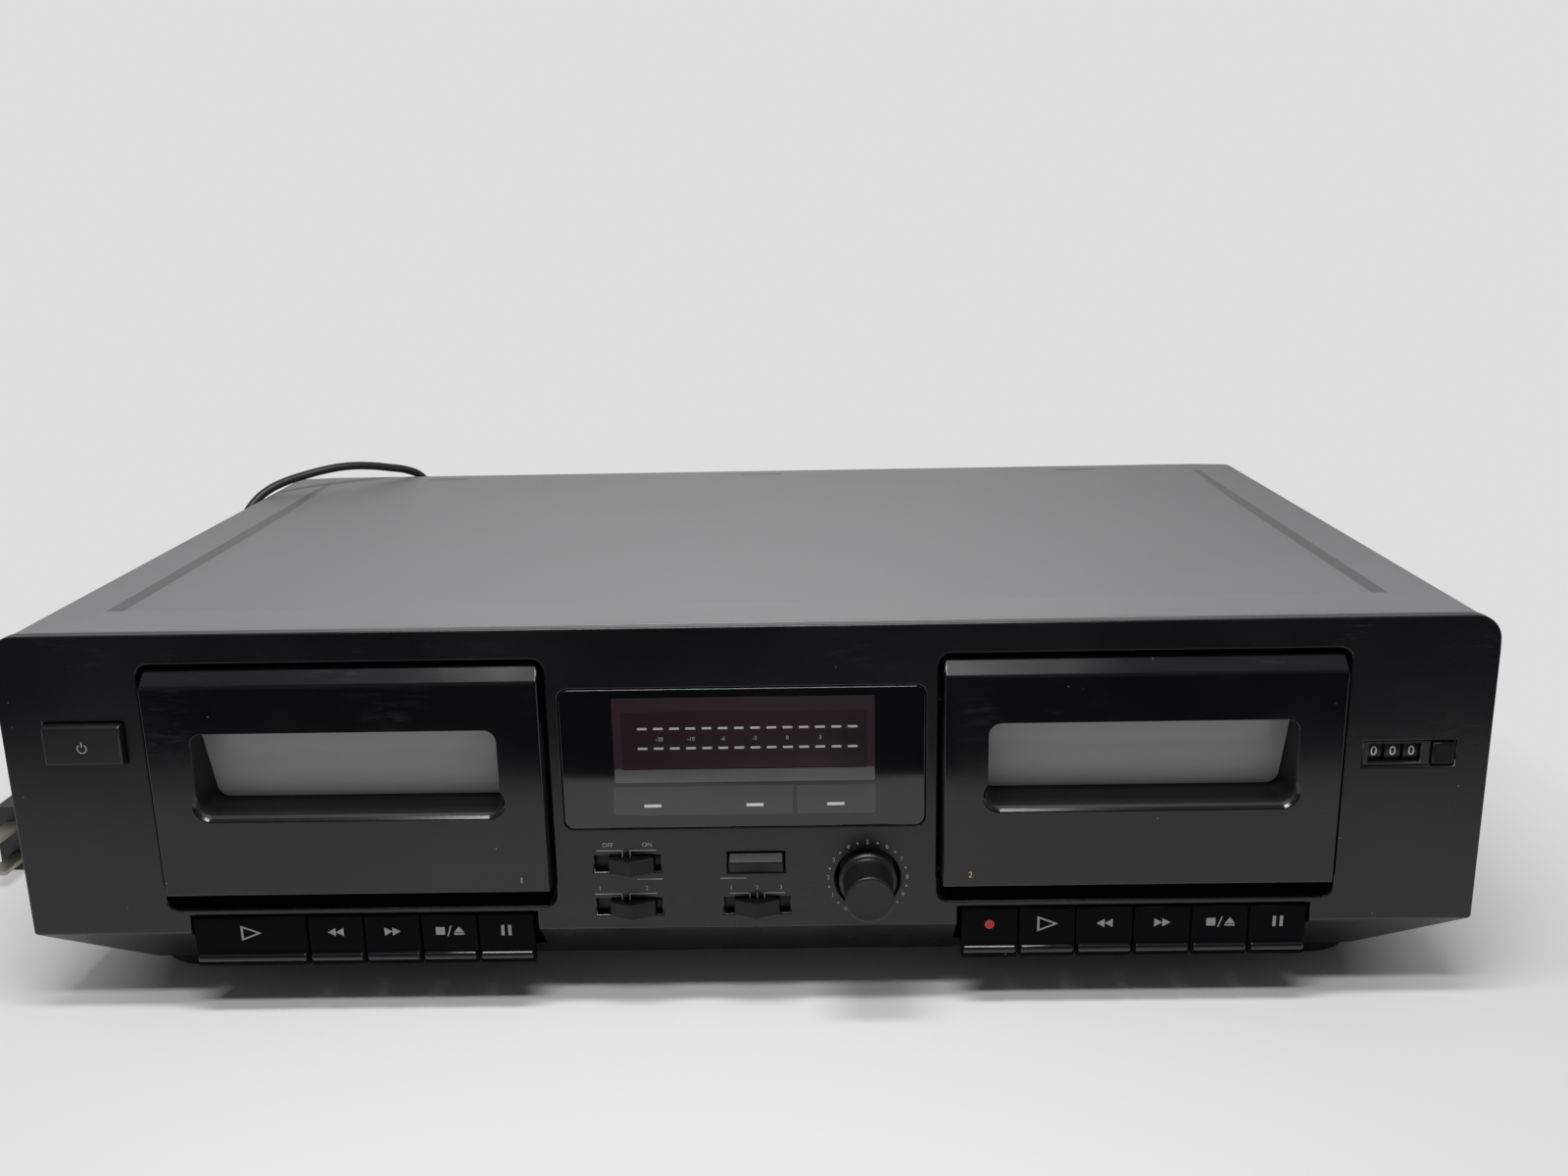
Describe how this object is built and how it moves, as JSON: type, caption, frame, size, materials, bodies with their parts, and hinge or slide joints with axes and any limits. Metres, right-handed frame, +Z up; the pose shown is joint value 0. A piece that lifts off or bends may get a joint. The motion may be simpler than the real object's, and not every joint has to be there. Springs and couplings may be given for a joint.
{
  "type": "double cassette deck",
  "caption": "Wide low double cassette deck: two tilting cassette doors with windows, piano keys, meter window, slide switches, level dial, tape counter, rear jacks and a coiled mains cord.",
  "frame": {"origin": "middle of the deck's own box without its cord, on the ground under the feet", "axes": "+X to the right seen from the front, -Y towards the user, +Z up"},
  "size_m": [0.499, 0.3082, 0.1296],
  "materials": {
    "front_plastic": "satin black moulded plastic",
    "door_plastic": "semi-gloss black moulded plastic",
    "key_plastic": "satin black",
    "button_plastic": "satin black",
    "smoked_window": "glossy smoked acrylic",
    "clear_window": "lightly smoked clear acrylic",
    "cover_paint": "fine-grained satin grey-black paint",
    "zinc_steel": "zinc-plated sheet steel",
    "holder_plastic": "matte dark grey",
    "wheel_plastic": "matte black",
    "reel_plastic": "matte off-white",
    "brass": "turned",
    "black_rubber": "matte black",
    "board": "green laminate",
    "transformer_iron": "varnished laminations",
    "jack_metal": "plated"
  },
  "bodies": {
    "deck": {"front_panel": "front_plastic", "meter_window": "smoked_window", "top_cover": "cover_paint", "rear_panel": "cover_paint", "chassis_pan": "zinc_steel", "transport_frames": "zinc_steel", "key_shafts": "zinc_steel", "screws": "zinc_steel", "drive_motors": "zinc_steel", "switch_bodies": "holder_plastic", "counter_frame": "holder_plastic", "feet": "black_rubber", "drive_belts": "black_rubber", "cord_gland": "black_rubber", "cord_lead": "black_rubber", "cord_coil": "black_rubber", "cord_tail": "black_rubber", "mains_plug": "black_rubber", "circuit_boards": "board", "power_transformer": "transformer_iron", "phono_jacks": "jack_metal"},
    "door_a": {"door_a": "door_plastic", "door_window_a": "clear_window", "cassette_holder_a": "holder_plastic"},
    "door_b": {"door_b": "door_plastic", "door_window_b": "clear_window", "cassette_holder_b": "holder_plastic"},
    "play_key_a": {"play_key_a": "key_plastic"},
    "rewind_key_a": {"rewind_key_a": "key_plastic"},
    "forward_key_a": {"forward_key_a": "key_plastic"},
    "stop_key_a": {"stop_key_a": "key_plastic"},
    "pause_key_a": {"pause_key_a": "key_plastic"},
    "record_key_b": {"record_key_b": "key_plastic"},
    "play_key_b": {"play_key_b": "key_plastic"},
    "rewind_key_b": {"rewind_key_b": "key_plastic"},
    "forward_key_b": {"forward_key_b": "key_plastic"},
    "stop_key_b": {"stop_key_b": "key_plastic"},
    "pause_key_b": {"pause_key_b": "key_plastic"},
    "power_button": {"power_button": "button_plastic"},
    "dubbing_button": {"dubbing_button": "button_plastic"},
    "reset_button": {"reset_button": "button_plastic"},
    "noise_switch_knob": {"noise_switch_knob": "button_plastic"},
    "tape_type_knob_a": {"tape_type_knob_a": "button_plastic"},
    "tape_type_knob_b": {"tape_type_knob_b": "button_plastic"},
    "level_knob": {"level_knob": "button_plastic"},
    "counter_wheel_hundreds": {"counter_wheel_hundreds": "wheel_plastic"},
    "counter_wheel_tens": {"counter_wheel_tens": "wheel_plastic"},
    "counter_wheel_units": {"counter_wheel_units": "wheel_plastic"},
    "supply_reel_a": {"supply_reel_a": "reel_plastic"},
    "takeup_reel_a": {"takeup_reel_a": "reel_plastic"},
    "supply_reel_b": {"supply_reel_b": "reel_plastic"},
    "takeup_reel_b": {"takeup_reel_b": "reel_plastic"},
    "flywheel_a": {"flywheel_a": "brass"},
    "flywheel_b": {"flywheel_b": "brass"},
    "motor_pulley_a": {"motor_pulley_a": "brass"},
    "motor_pulley_b": {"motor_pulley_b": "brass"},
    "head_plate_a": {"head_plate_a": "zinc_steel"},
    "head_plate_b": {"head_plate_b": "zinc_steel"},
    "pinch_roller_a": {"pinch_roller_a": "black_rubber"},
    "pinch_roller_b": {"pinch_roller_b": "black_rubber"}
  },
  "joints": [
    {"name": "door_a_hinge", "type": "hinge", "parent": "deck", "child": "door_a", "pos_m": [-0.11495, -0.1125, 0.041], "axis": [1, 0, 0], "range_deg": [0, 28]},
    {"name": "door_b_hinge", "type": "hinge", "parent": "deck", "child": "door_b", "pos_m": [0.11495, -0.1125, 0.041], "axis": [1, 0, 0], "range_deg": [0, 28]},
    {"name": "play_key_a_press", "type": "hinge", "parent": "deck", "child": "play_key_a", "pos_m": [-0.11495, -0.0855, 0.027], "axis": [1, 0, 0], "range_deg": [0, 9.5], "stiffness_Nm_per_rad": 0.3, "springref_deg": -17.19},
    {"name": "rewind_key_a_press", "type": "hinge", "parent": "deck", "child": "rewind_key_a", "pos_m": [-0.11495, -0.0855, 0.027], "axis": [1, 0, 0], "range_deg": [0, 9.5], "stiffness_Nm_per_rad": 0.3, "springref_deg": -17.19},
    {"name": "forward_key_a_press", "type": "hinge", "parent": "deck", "child": "forward_key_a", "pos_m": [-0.11495, -0.0855, 0.027], "axis": [1, 0, 0], "range_deg": [0, 9.5], "stiffness_Nm_per_rad": 0.3, "springref_deg": -17.19},
    {"name": "stop_key_a_press", "type": "hinge", "parent": "deck", "child": "stop_key_a", "pos_m": [-0.11495, -0.0855, 0.027], "axis": [1, 0, 0], "range_deg": [0, 9.5], "stiffness_Nm_per_rad": 0.3, "springref_deg": -17.19},
    {"name": "pause_key_a_press", "type": "hinge", "parent": "deck", "child": "pause_key_a", "pos_m": [-0.11495, -0.0855, 0.027], "axis": [1, 0, 0], "range_deg": [0, 9.5], "stiffness_Nm_per_rad": 0.3, "springref_deg": -17.19},
    {"name": "record_key_b_press", "type": "hinge", "parent": "deck", "child": "record_key_b", "pos_m": [0.11495, -0.0855, 0.027], "axis": [1, 0, 0], "range_deg": [0, 9.5], "stiffness_Nm_per_rad": 0.3, "springref_deg": -17.19},
    {"name": "play_key_b_press", "type": "hinge", "parent": "deck", "child": "play_key_b", "pos_m": [0.11495, -0.0855, 0.027], "axis": [1, 0, 0], "range_deg": [0, 9.5], "stiffness_Nm_per_rad": 0.3, "springref_deg": -17.19},
    {"name": "rewind_key_b_press", "type": "hinge", "parent": "deck", "child": "rewind_key_b", "pos_m": [0.11495, -0.0855, 0.027], "axis": [1, 0, 0], "range_deg": [0, 9.5], "stiffness_Nm_per_rad": 0.3, "springref_deg": -17.19},
    {"name": "forward_key_b_press", "type": "hinge", "parent": "deck", "child": "forward_key_b", "pos_m": [0.11495, -0.0855, 0.027], "axis": [1, 0, 0], "range_deg": [0, 9.5], "stiffness_Nm_per_rad": 0.3, "springref_deg": -17.19},
    {"name": "stop_key_b_press", "type": "hinge", "parent": "deck", "child": "stop_key_b", "pos_m": [0.11495, -0.0855, 0.027], "axis": [1, 0, 0], "range_deg": [0, 9.5], "stiffness_Nm_per_rad": 0.3, "springref_deg": -17.19},
    {"name": "pause_key_b_press", "type": "hinge", "parent": "deck", "child": "pause_key_b", "pos_m": [0.11495, -0.0855, 0.027], "axis": [1, 0, 0], "range_deg": [0, 9.5], "stiffness_Nm_per_rad": 0.3, "springref_deg": -17.19},
    {"name": "power_button_push", "type": "slide", "parent": "deck", "child": "power_button", "axis": [0, 1, 0], "range_m": [0, 0.003], "stiffness_N_per_m": 600, "springref_m": -0.003},
    {"name": "dubbing_button_push", "type": "slide", "parent": "deck", "child": "dubbing_button", "axis": [0, 1, 0], "range_m": [0, 0.0025], "stiffness_N_per_m": 600, "springref_m": -0.003},
    {"name": "reset_button_push", "type": "slide", "parent": "deck", "child": "reset_button", "axis": [0, 1, 0], "range_m": [0, 0.002], "stiffness_N_per_m": 400, "springref_m": -0.003},
    {"name": "noise_switch_knob_slide", "type": "slide", "parent": "deck", "child": "noise_switch_knob", "axis": [1, 0, 0], "range_m": [-0.0024, 0]},
    {"name": "tape_type_knob_a_slide", "type": "slide", "parent": "deck", "child": "tape_type_knob_a", "axis": [1, 0, 0], "range_m": [-0.0024, 0]},
    {"name": "tape_type_knob_b_slide", "type": "slide", "parent": "deck", "child": "tape_type_knob_b", "axis": [1, 0, 0], "range_m": [-0.0022, 0.0022]},
    {"name": "level_knob_turn", "type": "hinge", "parent": "deck", "child": "level_knob", "pos_m": [0.03601, -0.1215, 0.0416], "axis": [0, -1, 0], "range_deg": [-150, 150]},
    {"name": "counter_hundreds_turn", "type": "hinge", "parent": "deck", "child": "counter_wheel_hundreds", "pos_m": [0.18808, -0.1117, 0.0788], "axis": [1, 0, 0], "continuous": true},
    {"name": "counter_tens_turn", "type": "hinge", "parent": "deck", "child": "counter_wheel_tens", "pos_m": [0.18808, -0.1117, 0.0788], "axis": [1, 0, 0], "continuous": true},
    {"name": "counter_units_turn", "type": "hinge", "parent": "deck", "child": "counter_wheel_units", "pos_m": [0.18808, -0.1117, 0.0788], "axis": [1, 0, 0], "continuous": true},
    {"name": "supply_reel_a_spin", "type": "hinge", "parent": "deck", "child": "supply_reel_a", "pos_m": [-0.1362, -0.0915, 0.073], "axis": [0, -1, 0], "continuous": true},
    {"name": "takeup_reel_a_spin", "type": "hinge", "parent": "deck", "child": "takeup_reel_a", "pos_m": [-0.0937, -0.0915, 0.073], "axis": [0, -1, 0], "continuous": true},
    {"name": "flywheel_a_spin", "type": "hinge", "parent": "deck", "child": "flywheel_a", "pos_m": [-0.08795, -0.0765, 0.052], "axis": [0, -1, 0], "continuous": true},
    {"name": "motor_a_spin", "type": "hinge", "parent": "deck", "child": "motor_pulley_a", "pos_m": [-0.14095, -0.0765, 0.062], "axis": [0, -1, 0], "continuous": true},
    {"name": "head_plate_a_lift", "type": "slide", "parent": "deck", "child": "head_plate_a", "axis": [0, 0, 1], "range_m": [0, 0.006]},
    {"name": "pinch_roller_a_spin", "type": "hinge", "parent": "head_plate_a", "child": "pinch_roller_a", "pos_m": [-0.08795, -0.0945, 0.03895], "axis": [0, -1, 0], "continuous": true},
    {"name": "supply_reel_b_spin", "type": "hinge", "parent": "deck", "child": "supply_reel_b", "pos_m": [0.0937, -0.0915, 0.073], "axis": [0, -1, 0], "continuous": true},
    {"name": "takeup_reel_b_spin", "type": "hinge", "parent": "deck", "child": "takeup_reel_b", "pos_m": [0.1362, -0.0915, 0.073], "axis": [0, -1, 0], "continuous": true},
    {"name": "flywheel_b_spin", "type": "hinge", "parent": "deck", "child": "flywheel_b", "pos_m": [0.14195, -0.0765, 0.052], "axis": [0, -1, 0], "continuous": true},
    {"name": "motor_b_spin", "type": "hinge", "parent": "deck", "child": "motor_pulley_b", "pos_m": [0.08895, -0.0765, 0.062], "axis": [0, -1, 0], "continuous": true},
    {"name": "head_plate_b_lift", "type": "slide", "parent": "deck", "child": "head_plate_b", "axis": [0, 0, 1], "range_m": [0, 0.006]},
    {"name": "pinch_roller_b_spin", "type": "hinge", "parent": "head_plate_b", "child": "pinch_roller_b", "pos_m": [0.14195, -0.0945, 0.03895], "axis": [0, -1, 0], "continuous": true}
  ],
  "couplings": [
    {"joint": "motor_a_spin", "follows": "flywheel_a_spin", "ratio": 4},
    {"joint": "head_plate_a_lift", "follows": "play_key_a_press", "m_per_rad": 0.0361},
    {"joint": "motor_b_spin", "follows": "flywheel_b_spin", "ratio": 4},
    {"joint": "head_plate_b_lift", "follows": "play_key_b_press", "m_per_rad": 0.0361},
    {"joint": "counter_units_turn", "follows": "takeup_reel_b_spin", "ratio": 0.05},
    {"joint": "counter_tens_turn", "follows": "takeup_reel_b_spin", "ratio": 0.005},
    {"joint": "counter_hundreds_turn", "follows": "takeup_reel_b_spin", "ratio": 0.0005}
  ]
}
